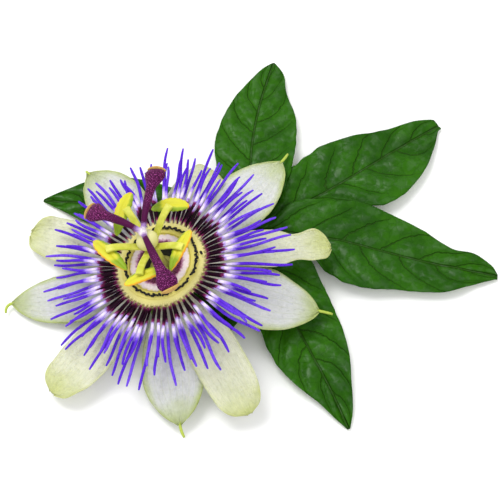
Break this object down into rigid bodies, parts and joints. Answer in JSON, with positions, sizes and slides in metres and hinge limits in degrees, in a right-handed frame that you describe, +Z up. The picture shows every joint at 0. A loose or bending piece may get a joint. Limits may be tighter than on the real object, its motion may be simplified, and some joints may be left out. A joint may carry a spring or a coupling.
{
  "type": "passion flower",
  "caption": "Cut blue passion flower lying face up, with banded filaments, crosswise anthers and dark styles, on a short piece of vine with two lobed leaves.",
  "frame": {"origin": "the small flat spot under the vine's middle node, below the middle of the bloom", "axes": "+Z up from the surface it lies on, +X towards the middle lobe of the larger leaf, +Y away from the viewer of the picture"},
  "size_m": [0.1322, 0.1139, 0.0344],
  "materials": {
    "sepal": "satin",
    "petal": "satin",
    "lower_filament": "satin",
    "upper_filament": "satin",
    "short_filament": "satin",
    "membrane": "satin",
    "cup": "satin",
    "stamen": "satin",
    "anther": "matte",
    "ovary": "satin",
    "style": "satin",
    "stigma": "matte",
    "bract": "satin",
    "stem": "satin",
    "leaf": "satin"
  },
  "bodies": {
    "root": {"androgynophore": "stamen", "anther_1": "anther", "anther_2": "anther", "anther_3": "anther", "anther_4": "anther", "anther_5": "anther", "bract_1": "bract", "bract_2": "bract", "bract_3": "bract", "corona_lower": "lower_filament", "corona_short": "short_filament", "corona_upper": "upper_filament", "hypanthium": "cup", "leaf_left": "leaf", "leaf_right": "leaf", "operculum": "membrane", "ovary": "ovary", "peduncle": "stem", "petal_1": "petal", "petal_2": "petal", "petal_3": "petal", "petal_4": "petal", "petal_5": "petal", "sepal_1": "sepal", "sepal_2": "sepal", "sepal_3": "sepal", "sepal_4": "sepal", "sepal_5": "sepal", "stigma_1": "stigma", "stigma_2": "stigma", "stigma_3": "stigma", "styles": "style", "vine_stem": "stem"}
  },
  "joints": []
}
